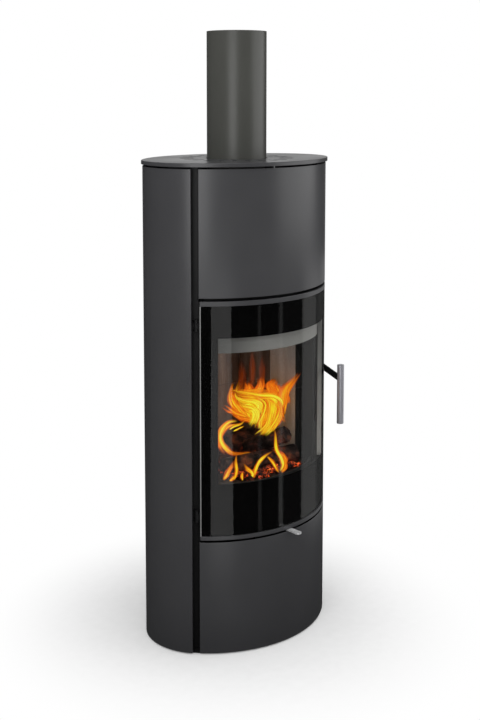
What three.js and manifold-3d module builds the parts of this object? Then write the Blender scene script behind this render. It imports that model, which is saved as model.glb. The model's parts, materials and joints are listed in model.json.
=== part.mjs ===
// Oval sheet-steel wood stove with a curved glass door, in millimetres.
// +Z is up, the door faces -Y, and the origin is the middle of the base plate's underside.
import * as THREE from 'three'
import { mergeVertices } from 'three/addons/utils/BufferGeometryUtils.js'
import Module from 'manifold-3d'

const wasm = await Module()
wasm.setup()

// ---------------------------------------------------------------- driving dimensions
// Plan of the stove: an oval of four arcs, flat faces at front and back, tight sides
const width = 530
const depth = 400
const sideRadius = 148
const height = 1200

// Clearances
const seat = 0.3 // between pieces that rest on each other
const floorGap = 3 // under the sheet panels

// Cladding
const sheet = 2
const shellInset = 3 // side shells and rear panel, in from the top plate's edge
const panelInset = 4.5 // front panels and door, in from the top plate's edge
const faceMargin = 10.3 // flat face left beyond the door, before the tight side begins
const channelAngle = 5 // dark upright recess between the door and a side shell, degrees of plan
const rearHalfAngle = 49 // side shells end this far each side of the back, degrees of plan
const rearSeamAngle = 1.2
const sheetReturn = 7 // folded edge of the front panels; the other sheets fold as far in
const baseThick = 6

// Top plate
const plateRim = 9.5
const plateThick = 4
const plateRimWall = 3
const plateSeam = 4.5 // dark gap under the plate's rim
const slotCount = 24
const slotFromPipe = 33
const slotLength = 38
const slotWidth = 11

// Flue
const flueDiameter = 150
const flueWall = 2
const flueAbove = 315 // pipe above the top plate
const flueOverlap = 70 // pipe below the top plate's face
const flueHoleGap = 3
const spigotWall = 2.2
const spigotFlange = 24
const spigotBead = 5 // ring that the pipe stands on

// Door
const doorBottom = 288
const aboveDoor = 327.5 // from the top plate's face down to the door
const doorSeam = 7.5 // under the upper front panel
const lowerSeam = 5.2 // over the lower front panel, the air lever's slit
const glassThick = 4
const glassRecess = 0.3
const topStrip = 11.5
const bottomStrip = 9.5
const frameThick = 11
const edgeLip = 2
const windowBeside = 44.7 // from the door's side edges to the window, along the face
const windowAboveSill = 132
const windowBelowHead = 82.5
const gasketTape = 1.2
const tapeWidth = 10
const ropeWidth = 9
const ropeMargin = 12
const doorGap = 4.6 // from the door frame's back to the firebox front

// Door hinge: eyes on the door, ears on the channel post
const hingeReach = 6.5
const hingeInset = 12.9
const pinRadius = 3
const pinGap = 0.3
const eyeRadius = 5
const hingeAboveSill = 57
const hingeBelowHead = 59.5
const eyeHeight = 13
const earHeight = 6
const earGap = 0.5
const hingeFoot = 2.5

// Door handle
const barDiameter = 18
const barLength = 156
const barBottom = 505
const barBeside = 2.9 // middle of the bar, sideways from the door's edge
const barReach = 62.2 // middle of the bar, forward of the pivot
const armWidth = 16
const armThick = 4.5
const armBelowBarTop = 38
const pivotHeight = 645
const pivotRadius = 4
const pivotShank = 22
const pinHead = 2
const hookReach = 14
const hookRise = 3
const hookRadius = 4.5

// Channel posts
const postInset = 27
const postDepth = 12

// Firebox
const plate = 4
const wallBeside = 26.6 // from the door's edge in to the firebox wall
const rearSpace = 65
const cornerDepth = 85 // length of the slanted rear corner along Y
const cornerWidth = 70
const fireboxFloor = 380
const roofBelowTop = 200 // from the top plate's face down to the firebox roof
const frontThick = 6
const frontBottom = 296
const mouthMargin = 2.6 // firebox mouth beyond the door's window
const mouthBottom = 398
const mouthBelowBricks = 10
const ashMouthHalf = 112
const ashMouthTop = 374
const floorHoleLip = 8 // what the grate rests on

// Lining
const brick = 30
const floorBrick = 21
const bricksBelowRoof = 230
const lowerCourse = 0.5385 // share of the lining's height
const brickFront = -60
const bedBehindFront = 26
const baffleThick = 25
const baffleFront = -85
const grateLength = 190
const grateWidth = 170
const grateThick = 12
const grateSlots = 8
const grateSlotWidth = 7
const grateRim = 15
const grateEnd = 22

// Rails behind the glass, above and below the firebox mouth
const railThick = 3
const railTall = 54
const railBelowMouth = 22
const guardThick = 5
const guardTall = 34
const guardGap = 2
const railSideAngle = 1
const guardSideAngle = 3

// Firewood
const logRadius = 34

// Ash pan and air control
const shelfBottom = 287.6
const shelfThick = 3
const panWidth = 210
const panDepth = 200
const panHeight = 62
const panWall = 1.5
const panBehindFace = 52 // from the middle of the front face back to the pan
const panLip = 12
const panLipThick = 2.5
const ductWidth = 150
const ductHeight = 110
const ductWall = 3
const ductBehindFace = 50
const ductRail = 8
const spigotDiameter = 100
const airFlange = 4
const airSpigotOut = 15 // past the back of the plan
const leverThick = 3.4
const leverOut = 31 // past the front of the plan
const leverPivotBehindFace = 108
const leverWidth = 16
const leverGrip = 9
const shutterRadius = 46
const portRadius = 12
const portFromPivot = 30
const inletRadius = 16
const inletFromPivot = 55

// Brackets of the upper front panel
const bracketAngle = 28
const bracketSpan = 6 // degrees of plan
const bracketTall = 40
const bracketThick = 3
const bracketFoot = 24 // onto the firebox roof, behind its front

const beyond = 2 // how far a cutting tool goes past what it cuts

// ---------------------------------------------------------------- materials
const paint = (color, roughness = 0.55, metalness = 0.35) =>
  new THREE.MeshStandardMaterial({ color, roughness, metalness })
const materials = {
  shellPaint: paint(0x45464a),
  blackPaint: paint(0x1c1d1f, 0.6),
  fluePaint: paint(0x4a4a47, 0.5),
  plainSteel: paint(0x77787a, 0.45, 0.9),
  polished: paint(0xa9abaf, 0.22, 1),
  castIron: paint(0x2b2a29, 0.75, 0.7),
  ceramicGlass: paint(0x0a0a0c, 0.08, 0),
  fireclay: paint(0x9a9184, 0.9, 0),
  rope: paint(0x4b4a46, 0.95, 0),
  bark: paint(0x4a3323, 0.95, 0),
}

// ---------------------------------------------------------------- plan of the stove
const halfWidth = width / 2
const halfDepth = depth / 2
const faceRadius = (halfWidth ** 2 + halfDepth ** 2 - width * sideRadius) / (depth - 2 * sideRadius)
const faceCentre = faceRadius - halfDepth
const sideCentre = halfWidth - sideRadius
const joinAngle = Math.atan2(sideCentre, faceCentre)
const deg = THREE.MathUtils.radToDeg
const rad = THREE.MathUtils.degToRad

// A point of the oval, moved in by inset. The angle is that of the wall's normal:
// 0 at the front, 90 at the right side, 180 at the back, -90 at the left side.
function ovalPoint(angle, inset) {
  const nx = Math.sin(rad(angle))
  const ny = -Math.cos(rad(angle))
  const onSide = Math.abs(nx) > Math.sin(joinAngle)
  const radius = (onSide ? sideRadius : faceRadius) - inset
  const centreX = onSide ? Math.sign(nx) * sideCentre : 0
  const centreY = onSide ? 0 : -Math.sign(ny) * faceCentre
  return new THREE.Vector2(centreX + radius * nx, centreY + radius * ny)
}

// The same, always on the front face's arc
function facePoint(angle, inset) {
  const radius = faceRadius - inset
  return new THREE.Vector2(radius * Math.sin(rad(angle)), faceCentre - radius * Math.cos(rad(angle)))
}

function arcPoints(pointAt, from, to, inset, step = 5) {
  const steps = Math.max(1, Math.ceil(Math.abs(to - from) / step))
  const points = []
  for (let i = 0; i <= steps; i++) points.push(pointAt(from + ((to - from) * i) / steps, inset))
  return points
}

const foldInset = panelInset + sheetReturn
const faceAngle = (x, inset) => deg(Math.asin(x / (faceRadius - inset)))
const alongFace = (length) => deg(length / (faceRadius - panelInset))
const doorAngle = deg(joinAngle) - deg(faceMargin / faceRadius)
const frontHalfWidth = facePoint(doorAngle, panelInset).x
const shellAngle = doorAngle + channelAngle
const windowHalfAngle = doorAngle - alongFace(windowBeside)
const mouthHalfAngle = windowHalfAngle + alongFace(mouthMargin)

// ---------------------------------------------------------------- heights that follow the stove's
const doorTop = height - aboveDoor
const windowBottom = doorBottom + windowAboveSill
const windowTop = doorTop - windowBelowHead
const hingeHeights = [doorBottom + hingeAboveSill, doorTop - hingeBelowHead]
const fireboxTop = height - roofBelowTop
const brickTop = fireboxTop - bricksBelowRoof
const brickMiddle = fireboxFloor + lowerCourse * (brickTop - fireboxFloor)
const mouthTop = brickTop - mouthBelowBricks

// ---------------------------------------------------------------- solids
function upright(shape, tall, curveSegments = 8) {
  return new THREE.ExtrudeGeometry(shape, { depth: tall, bevelEnabled: false, curveSegments })
}

function toSolid(geometry) {
  const bare = geometry.clone()
  bare.deleteAttribute('normal')
  bare.deleteAttribute('uv')
  const merged = mergeVertices(bare, 1e-4)
  return new wasm.Manifold(
    new wasm.Mesh({
      numProp: 3,
      vertProperties: new Float32Array(merged.attributes.position.array),
      triVerts: new Uint32Array(merged.index.array),
    }),
  )
}

function fromSolid(solid) {
  const mesh = solid.getMesh()
  const geometry = new THREE.BufferGeometry()
  geometry.setAttribute('position', new THREE.BufferAttribute(mesh.vertProperties, 3))
  geometry.setIndex(new THREE.BufferAttribute(mesh.triVerts, 1))
  geometry.computeVertexNormals()
  return geometry
}

const cut = (body, ...tools) =>
  fromSolid(tools.reduce((solid, tool) => solid.subtract(toSolid(tool)), toSolid(body)))
const join = (body, ...others) =>
  fromSolid(others.reduce((solid, other) => solid.add(toSolid(other)), toSolid(body)))

// A curved wall between two angles of the plan, from inset outer to inset inner
function band(from, to, outer, inner, tall, pointAt = facePoint) {
  const outline = [
    ...arcPoints(pointAt, from, to, outer),
    ...arcPoints(pointAt, to, from, inner),
  ]
  return upright(new THREE.Shape(outline), tall)
}

// A curved sheet whose two upright edges are folded in
function foldedSheet(from, to, outer, tall, pointAt = ovalPoint, foldEnd = foldInset) {
  const inner = outer + sheet
  const edge = (angle) => deg(sheet / ((Math.abs(Math.sin(rad(angle))) > Math.sin(joinAngle)
    ? sideRadius : faceRadius) - outer))
  const insideFrom = from + edge(from)
  const insideTo = to - edge(to)
  const outline = [
    ...arcPoints(pointAt, from, to, outer),
    pointAt(to, foldEnd),
    pointAt(insideTo, foldEnd),
    ...arcPoints(pointAt, insideTo, insideFrom, inner),
    pointAt(insideFrom, foldEnd),
    pointAt(from, foldEnd),
  ]
  return upright(new THREE.Shape(outline), tall)
}

function ring(outerRadius, innerRadius, tall, segments = 32) {
  const profile = [
    new THREE.Vector2(innerRadius, 0),
    new THREE.Vector2(outerRadius, 0),
    new THREE.Vector2(outerRadius, tall),
    new THREE.Vector2(innerRadius, tall),
    new THREE.Vector2(innerRadius, 0),
  ]
  return new THREE.LatheGeometry(profile, segments).rotateX(Math.PI / 2)
}

const rod = (radius, tall, segments = 20) =>
  new THREE.CylinderGeometry(radius, radius, tall, segments).rotateX(Math.PI / 2).translate(0, 0, tall / 2)

const block = (x, y, z) => new THREE.BoxGeometry(x, y, z).translate(0, 0, z / 2)

// A flat link of rounded ends between two points of a plane
function link(from, to, radiusFrom, radiusTo, tall) {
  const along = Math.atan2(to.y - from.y, to.x - from.x)
  const shape = new THREE.Shape()
  shape.absarc(from.x, from.y, radiusFrom, along + Math.PI / 2, along + 1.5 * Math.PI, false)
  shape.absarc(to.x, to.y, radiusTo, along - Math.PI / 2, along + Math.PI / 2, false)
  return upright(shape, tall, 8)
}

const stove = new THREE.Group()
function place(group, name, geometry, material, x = 0, y = 0, z = 0) {
  const mesh = new THREE.Mesh(geometry, material)
  mesh.name = name
  mesh.position.set(x, y, z)
  group.add(mesh)
  return mesh
}

// ---------------------------------------------------------------- base and cladding
// A round hole
function circlePath(radius, segments, x = 0, y = 0) {
  const points = []
  for (let i = 0; i < segments; i++) {
    const angle = (2 * Math.PI * i) / segments
    points.push(new THREE.Vector2(x + radius * Math.cos(angle), y + radius * Math.sin(angle)))
  }
  return new THREE.Path(points)
}

const closedOval = (inset) => arcPoints(ovalPoint, -180, 180, inset, 6).slice(0, -1)

// Cuts the outside air spigot's hole through an upright wall at y
function airHole(y) {
  const long = 20 * beyond
  return rod(spigotDiameter / 2 + 2 * seat, long, 32).rotateX(Math.PI / 2)
    .translate(0, y + long / 2, airSpigotHeight)
}

function baseAndCladding() {
  place(stove, 'base_plate', upright(new THREE.Shape(closedOval(foldInset + seat)), baseThick), materials.blackPaint)

  const shellTall = height - plateRim - plateSeam - floorGap
  const rearAngle = 180 - rearHalfAngle
  place(stove, 'right_side_shell', foldedSheet(shellAngle, rearAngle, shellInset, shellTall),
    materials.shellPaint, 0, 0, floorGap)
  place(stove, 'left_side_shell', foldedSheet(-rearAngle, -shellAngle, shellInset, shellTall),
    materials.shellPaint, 0, 0, floorGap)
  rearPanel(rearHalfAngle - rearSeamAngle, shellTall)

  const upperBottom = doorTop + doorSeam
  place(stove, 'upper_front_panel',
    foldedSheet(-doorAngle, doorAngle, panelInset, height - plateRim - plateSeam - upperBottom, facePoint),
    materials.shellPaint, 0, 0, upperBottom)
  place(stove, 'lower_front_panel',
    foldedSheet(-doorAngle, doorAngle, panelInset, doorBottom - lowerSeam - floorGap, facePoint),
    materials.shellPaint, 0, 0, floorGap)
}

// The rear panel has two rows of upright vents and a round hole for outside air
function rearPanel(half, tall) {
  const ventCount = 11
  const ventWidth = 8
  const ventTall = 60
  const ventPitch = 6.5 // degrees of plan
  const ventMargin = 60
  const upperMargin = 70
  const ventRows = [ventMargin, tall - ventTall - upperMargin]
  const tools = []
  for (const row of ventRows) {
    for (let i = 0; i < ventCount; i++) {
      const angle = 180 + (i - (ventCount - 1) / 2) * ventPitch
      const at = ovalPoint(angle, shellInset)
      tools.push(block(ventWidth, 3 * beyond * sheet, ventTall)
        .rotateZ(rad(angle - 180)).translate(at.x, at.y, row))
    }
  }
  tools.push(airHole(halfDepth).translate(0, 0, -floorGap))
  const panel = cut(foldedSheet(180 - half, 180 + half, shellInset, tall), ...tools)
  place(stove, 'rear_panel', panel, materials.shellPaint, 0, 0, floorGap)
}

// ---------------------------------------------------------------- slotted top plate
function topPlate() {
  const shape = new THREE.Shape(closedOval(0))
  shape.holes.push(circlePath(flueDiameter / 2 + flueHoleGap, 40))
  const slotInner = flueDiameter / 2 + slotFromPipe
  const slotOuter = slotInner + slotLength
  for (let i = 0; i < slotCount; i++) {
    const angle = (2 * Math.PI * i) / slotCount
    const radius = slotWidth / 2
    const end = (r) => [r * Math.cos(angle), r * Math.sin(angle)]
    const slot = new THREE.Path()
    slot.absarc(...end(slotOuter - radius), radius, angle - Math.PI / 2, angle + Math.PI / 2, false)
    slot.absarc(...end(slotInner + radius), radius, angle + Math.PI / 2, angle + 1.5 * Math.PI, false)
    shape.holes.push(slot)
  }
  const top = upright(shape, plateThick, 4).translate(0, 0, plateRim - plateThick)
  const rimShape = new THREE.Shape(closedOval(0))
  rimShape.holes.push(new THREE.Path(closedOval(plateRimWall)))
  const rim = upright(rimShape, plateRim - plateThick / 2)
  place(stove, 'top_plate', join(top, rim), materials.shellPaint, 0, 0, height - plateRim)
}

// ---------------------------------------------------------------- firebox body
const wallX = frontHalfWidth - wallBeside
const wallBack = halfDepth - rearSpace
const frontInset = panelInset + glassThick + glassRecess + gasketTape + seat + frameThick + doorGap

// Right half of the firebox plan behind the front, from the side wall to the middle of the back.
// Walls, slanted corner and back all move in by inset.
function fireboxHalf(inset) {
  const slant = Math.hypot(cornerWidth, cornerDepth)
  const normal = new THREE.Vector2(cornerDepth / slant, cornerWidth / slant)
  const reach = normal.x * wallX + normal.y * (wallBack - cornerDepth) - inset
  const x = wallX - inset
  const back = wallBack - inset
  return [
    new THREE.Vector2(x, (reach - normal.x * x) / normal.y),
    new THREE.Vector2((reach - normal.y * back) / normal.x, back),
  ]
}

const mirror = (points) => points.map((p) => new THREE.Vector2(-p.x, p.y)).reverse()

// Closed plan of the firebox: curved front at frontAt, walls moved in by inset
function fireboxPlan(inset, frontAt) {
  const half = fireboxHalf(inset)
  const edge = faceAngle(half[0].x, frontAt)
  return new THREE.Shape([...arcPoints(facePoint, -edge, edge, frontAt, 6), ...half, ...mirror(half)])
}

// The bent wall of the firebox or its stand, open at the front
function bentWall(thick, tall, frontAt) {
  const outer = fireboxHalf(0)
  const inner = fireboxHalf(thick)
  const start = (x) => facePoint(faceAngle(x, frontAt), frontAt).y
  const outerStart = new THREE.Vector2(outer[0].x, start(outer[0].x))
  const innerStart = new THREE.Vector2(inner[0].x, start(outer[0].x))
  const outline = [outerStart, ...outer, ...mirror([outerStart, ...outer])]
  const inside = [innerStart, ...inner, ...mirror([innerStart, ...inner])].reverse()
  return upright(new THREE.Shape([...outline, ...inside]), tall)
}

const behindFront = frontInset + frontThick + seat

function fireboxBody() {
  place(stove, 'firebox_shell', bentWall(plate, fireboxTop - fireboxFloor, behindFront),
    materials.blackPaint, 0, 0, fireboxFloor)
  const standBottom = baseThick + seat
  const stand = bentWall(sheet, fireboxFloor - standBottom - seat, behindFront)
  place(stove, 'firebox_stand', cut(stand, airHole(wallBack).translate(0, 0, -standBottom)),
    materials.blackPaint, 0, 0, standBottom)

  const front = band(-wallAngle, wallAngle, frontInset, frontInset + frontThick, fireboxTop - frontBottom)
  const mouth = band(-mouthHalfAngle, mouthHalfAngle, frontInset - beyond, frontInset + frontThick + beyond,
    mouthTop - mouthBottom).translate(0, 0, mouthBottom - frontBottom)
  const ashMouth = block(2 * ashMouthHalf, 40 * beyond, ashMouthTop - frontBottom + beyond)
    .translate(0, -halfDepth + frontInset + 10 * beyond, -beyond)
  place(stove, 'firebox_front', cut(front, mouth, ashMouth), materials.blackPaint, 0, 0, frontBottom)

  const floorShape = fireboxPlan(plate + seat, behindFront)
  const opening = new THREE.Path()
  const x = grateWidth / 2 - floorHoleLip
  const y = grateLength / 2 - floorHoleLip
  opening.setFromPoints([
    new THREE.Vector2(-x, grateY - y), new THREE.Vector2(-x, grateY + y),
    new THREE.Vector2(x, grateY + y), new THREE.Vector2(x, grateY - y),
  ])
  floorShape.holes.push(opening)
  place(stove, 'firebox_floor', upright(floorShape, plate), materials.blackPaint, 0, 0, fireboxFloor + seat)

  const roofShape = fireboxPlan(0, frontInset)
  roofShape.holes.push(circlePath(spigotBore, 40))
  place(stove, 'firebox_roof', upright(roofShape, plate, 16), materials.blackPaint, 0, 0, fireboxTop + seat)
}

const wallAngle = faceAngle(wallX - 1, frontInset + frontThick)
const spigotOuter = flueDiameter / 2 - flueWall - seat
const spigotBore = spigotOuter - spigotWall
const grateY = -25

// ---------------------------------------------------------------- flue
function flue() {
  const flangeBottom = fireboxTop + plate + 2 * seat
  const pipeBottom = height - flueOverlap
  const beadTop = pipeBottom - seat
  const spigotTop = pipeBottom + flueOverlap / 2
  const profile = [
    [spigotBore, flangeBottom],
    [spigotOuter + spigotFlange, flangeBottom],
    [spigotOuter + spigotFlange, flangeBottom + plate],
    [spigotOuter, flangeBottom + plate],
    [spigotOuter, beadTop - spigotBead - flueWall],
    [flueDiameter / 2, beadTop - spigotBead],
    [flueDiameter / 2, beadTop],
    [spigotOuter, beadTop],
    [spigotOuter, spigotTop],
    [spigotBore, spigotTop],
    [spigotBore, flangeBottom],
  ].map(([r, z]) => new THREE.Vector2(r, z - flangeBottom))
  place(stove, 'flue_spigot', new THREE.LatheGeometry(profile, 40).rotateX(Math.PI / 2),
    materials.blackPaint, 0, 0, flangeBottom)
  place(stove, 'flue_pipe', ring(flueDiameter / 2, flueDiameter / 2 - flueWall, flueAbove + flueOverlap, 40),
    materials.fluePaint, 0, 0, pipeBottom)
}

// ---------------------------------------------------------------- lining of the fire chamber
function lining() {
  const outer = fireboxHalf(plate + seat)
  const inner = fireboxHalf(plate + seat + brick)
  const floorTop = fireboxFloor + plate + 2 * seat
  const lower = brickMiddle - floorTop
  const courses = [
    ['lower', floorTop, lower - seat],
    ['upper', brickMiddle, brickTop - brickMiddle],
  ]
  const gap = seat / 2
  const side = new THREE.Shape([
    new THREE.Vector2(outer[0].x, brickFront), new THREE.Vector2(outer[0].x, outer[0].y - gap),
    new THREE.Vector2(inner[0].x, inner[0].y - gap), new THREE.Vector2(inner[0].x, brickFront),
  ])
  const corner = new THREE.Shape([
    new THREE.Vector2(outer[0].x, outer[0].y + gap), new THREE.Vector2(outer[1].x + gap, outer[1].y),
    new THREE.Vector2(inner[1].x + gap, inner[1].y), new THREE.Vector2(inner[0].x, inner[0].y + gap),
  ])
  const back = new THREE.Shape([
    new THREE.Vector2(outer[1].x - gap, outer[1].y), new THREE.Vector2(-outer[1].x + gap, outer[1].y),
    new THREE.Vector2(-inner[1].x + gap, inner[1].y), new THREE.Vector2(inner[1].x - gap, inner[1].y),
  ])
  const flip = (shape) => new THREE.Shape(mirror(shape.getPoints()))
  for (const [course, z, tall] of courses) {
    place(stove, `side_brick_right_${course}`, upright(side, tall), materials.fireclay, 0, 0, z)
    place(stove, `side_brick_left_${course}`, upright(flip(side), tall), materials.fireclay, 0, 0, z)
    place(stove, `corner_brick_right_${course}`, upright(corner, tall), materials.fireclay, 0, 0, z)
    place(stove, `corner_brick_left_${course}`, upright(flip(corner), tall), materials.fireclay, 0, 0, z)
    place(stove, `rear_brick_${course}`, upright(back, tall), materials.fireclay, 0, 0, z)
  }

  const bed = fireboxPlan(plate + brick + 3 * seat, behindFront + bedBehindFront)
  const recess = new THREE.Path()
  const x = grateWidth / 2 + seat
  const y = grateLength / 2 + seat
  recess.setFromPoints([
    new THREE.Vector2(-x, grateY - y), new THREE.Vector2(-x, grateY + y),
    new THREE.Vector2(x, grateY + y), new THREE.Vector2(x, grateY - y),
  ])
  bed.holes.push(recess)
  place(stove, 'floor_brick', upright(bed, floorBrick), materials.fireclay, 0, 0, floorTop)

  const half = fireboxHalf(plate + 2 * seat)
  const baffleEdge = new THREE.Vector2(half[0].x, baffleFront)
  const baffle = new THREE.Shape([baffleEdge, ...half, ...mirror([baffleEdge, ...half])])
  place(stove, 'baffle_plate', upright(baffle, baffleThick), materials.fireclay, 0, 0, brickTop + seat)
}

function grate() {
  const shape = new THREE.Shape([
    new THREE.Vector2(-grateWidth / 2, -grateLength / 2), new THREE.Vector2(grateWidth / 2, -grateLength / 2),
    new THREE.Vector2(grateWidth / 2, grateLength / 2), new THREE.Vector2(-grateWidth / 2, grateLength / 2),
  ])
  const pitch = (grateWidth - 2 * grateRim) / grateSlots
  const long = grateLength - 2 * grateEnd
  for (let i = 0; i < grateSlots; i++) {
    const x = (i - (grateSlots - 1) / 2) * pitch
    const slot = new THREE.Path()
    slot.absarc(x, long / 2, grateSlotWidth / 2, 0, Math.PI, false)
    slot.absarc(x, -long / 2, grateSlotWidth / 2, Math.PI, 2 * Math.PI, false)
    shape.holes.push(slot)
  }
  place(stove, 'grate', upright(shape, grateThick, 4), materials.castIron,
    0, grateY, fireboxFloor + plate + 2 * seat)
}

// Curved rails just behind the glass, above and below the chamber's mouth
function mouthRails() {
  const railAngle = mouthHalfAngle - railSideAngle
  const outer = frontInset - railThick - seat
  place(stove, 'air_wash_rail', band(-railAngle, railAngle, outer, outer + railThick, railTall),
    materials.plainSteel, 0, 0, mouthTop - railBelowMouth)
  const guardAngle = mouthHalfAngle - guardSideAngle
  const guardInset = behindFront + guardGap
  place(stove, 'log_guard', band(-guardAngle, guardAngle, guardInset, guardInset + guardThick, guardTall),
    materials.castIron, 0, 0, fireboxFloor + plate + 2 * seat)
}

// ---------------------------------------------------------------- firewood
function firewood() {
  const bedTop = fireboxFloor + plate + 2 * seat + floorBrick
  // Sizes and places are in log radii: radius, length, middle x and y, rise over the bed; turn and tilt
  const logs = [
    ['log_back', 1, 6.18, 0.29, 1.32, 0.855, 4, 0],
    ['log_front', 0.75, 6.6, 0.48, -2, 0.682, -10, 0],
    ['log_top', 0.68, 4.02, 1.8, -1.425, 1.711, -72, -25],
  ]
  logs.forEach(([name, radius, long, x, y, rise, turn, tilt], index) => {
    const wood = new THREE.CylinderGeometry(radius * 0.9, radius, long, 9, 3)
      .scale(logRadius, logRadius, logRadius).rotateZ(Math.PI / 2)
    const position = wood.attributes.position
    for (let i = 0; i < position.count; i++) {
      const around = Math.atan2(position.getZ(i), position.getY(i))
      const swell = 1 - 0.06 * (1 + Math.sin(3 * around + index)) * (Math.abs(position.getY(i)) > 0.01 ? 1 : 0)
      position.setY(i, position.getY(i) * swell)
      position.setZ(i, position.getZ(i) * swell)
    }
    const log = place(stove, name, wood, materials.bark,
      x * logRadius, y * logRadius, bedTop + rise * logRadius + seat)
    log.rotation.set(0, rad(tilt), rad(turn), 'ZYX')
  })
}

// ---------------------------------------------------------------- ash pan, shelf and air supply
const ductTop = shelfBottom - leverThick - 3 * seat
const ductFront = ductBehindFace - halfDepth
const panFront = panBehindFace - halfDepth
const leverPivot = leverPivotBehindFace - halfDepth
const leverTip = -halfDepth - leverOut
const airSpigotHeight = ductTop - ductHeight / 2
const ductBack = wallBack - sheet - airFlange - 3 * seat

function airSupply() {
  const shelf = fireboxPlan(sheet + seat, behindFront)
  shelf.holes.push(circlePath(inletRadius, 20, 0, leverPivot + inletFromPivot))
  place(stove, 'ash_shelf', upright(shelf, shelfThick, 8), materials.blackPaint, 0, 0, shelfBottom)

  const long = ductBack - ductFront
  const middle = (ductBack + ductFront) / 2
  const box = block(ductWidth, long, ductHeight).translate(0, middle, 0)
  const hollow = block(ductWidth - 2 * ductWall, long, ductHeight - 2 * ductWall)
    .translate(0, middle + ductWall + beyond, ductWall)
  const inlet = rod(inletRadius, 3 * ductWall, 20)
    .translate(0, leverPivot + inletFromPivot, ductHeight - 2 * ductWall)
  const rail = block(ductRail, long / 2, leverThick + 2 * seat)
  const railX = (ductWidth - ductRail) / 2 - seat
  const rails = [-railX, railX].map((x) => rail.clone().translate(x, ductFront + long / 4, 0))
  const duct = toSolid(box).subtract(toSolid(hollow)).subtract(toSolid(inlet))
    .add(toSolid(rails[0]).translate([0, 0, ductHeight - 0.01]))
    .add(toSolid(rails[1]).translate([0, 0, ductHeight - 0.01]))
  place(stove, 'air_duct', fromSolid(duct), materials.blackPaint, 0, 0, ductTop - ductHeight)

  const spigotLong = halfDepth + airSpigotOut - ductBack
  const flange = spigotDiameter / 2 + airFlange
  const spigotProfile = [
    [spigotDiameter / 2 - sheet, 0], [flange, 0], [flange, airFlange],
    [spigotDiameter / 2, airFlange], [spigotDiameter / 2, spigotLong],
    [spigotDiameter / 2 - sheet, spigotLong], [spigotDiameter / 2 - sheet, 0],
  ].map(([r, z]) => new THREE.Vector2(r, z))
  const spigot = new THREE.LatheGeometry(spigotProfile, 32)
  place(stove, 'rear_air_spigot', spigot, materials.blackPaint, 0, ductBack + seat, airSpigotHeight)
  place(stove, 'lever_pivot_pin', rod(pinRadius, leverThick + seat), materials.plainSteel,
    0, leverPivot, ductTop + seat / 2)
}

const pan = new THREE.Group()
stove.add(pan)

function ashPan() {
  const inside = block(panWidth - 2 * panWall, panDepth - 2 * panWall, panHeight).translate(0, 0, panWall)
  const body = cut(block(panWidth, panDepth, panHeight), inside)
  const lip = block(panWidth / 2, panLip, panLipThick)
    .translate(0, (panWall - panDepth - panLip) / 2, panHeight - panLip)
  place(pan, 'ash_pan', join(body, lip), materials.plainSteel,
    0, panFront + panDepth / 2, shelfBottom + shelfThick + seat)
}

const lever = new THREE.Group()
lever.position.set(0, leverPivot, ductTop + seat + 0.05)
stove.add(lever)

function airLever() {
  const tip = new THREE.Vector2(0, leverTip - leverPivot + leverWidth / 2)
  const tongue = link(tip, new THREE.Vector2(0, 0), leverWidth / 2, leverWidth / 2, leverThick)
  const shutter = upright(new THREE.Shape().absarc(0, 0, shutterRadius, 0, Math.PI, false), leverThick, 16)
  const bore = rod(pinRadius + pinGap, 3 * leverThick).translate(0, 0, -leverThick)
  const grip = rod(leverGrip, leverThick, 24).translate(tip.x, tip.y, 0)
  const port = rod(portRadius, 3 * leverThick, 20).translate(0, portFromPivot, -leverThick)
  const body = toSolid(tongue).add(toSolid(shutter)).add(toSolid(grip))
  place(lever, 'air_lever', fromSolid(body.subtract(toSolid(bore)).subtract(toSolid(port))), materials.polished)
}

// ---------------------------------------------------------------- channel posts, hinges and catch
const hingeAngle = doorAngle + deg(hingeReach / (faceRadius - hingeInset))
const hingeAxis = facePoint(-hingeAngle, hingeInset)
const postFrom = doorAngle + 0.5
const postTo = shellAngle + 2

function channelPosts() {
  const postTall = height - plateThick - baseThick - 2 * seat
  const post = (from, to) => foldedSheet(from, to, postInset, postTall, ovalPoint, postInset + postDepth)
  place(stove, 'right_channel_post', post(postFrom, postTo), materials.blackPaint, 0, 0, baseThick + seat)
  place(stove, 'left_channel_post', post(-postTo, -postFrom), materials.blackPaint, 0, 0, baseThick + seat)
}

// Angle brackets on the firebox roof, which the upper front panel hangs on
function panelBrackets() {
  const legInset = panelInset + sheet + seat
  for (const [side, from] of [['right', bracketAngle], ['left', -bracketAngle - bracketSpan]]) {
    const to = from + bracketSpan
    const foot = band(from, to, legInset, frontInset + bracketFoot, bracketThick)
    const leg = band(from, to, legInset, legInset + bracketThick, bracketTall)
    place(stove, `panel_bracket_${side}`, join(foot, leg), materials.blackPaint,
      0, 0, fireboxTop + plate + 2 * seat)
  }
}

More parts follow.
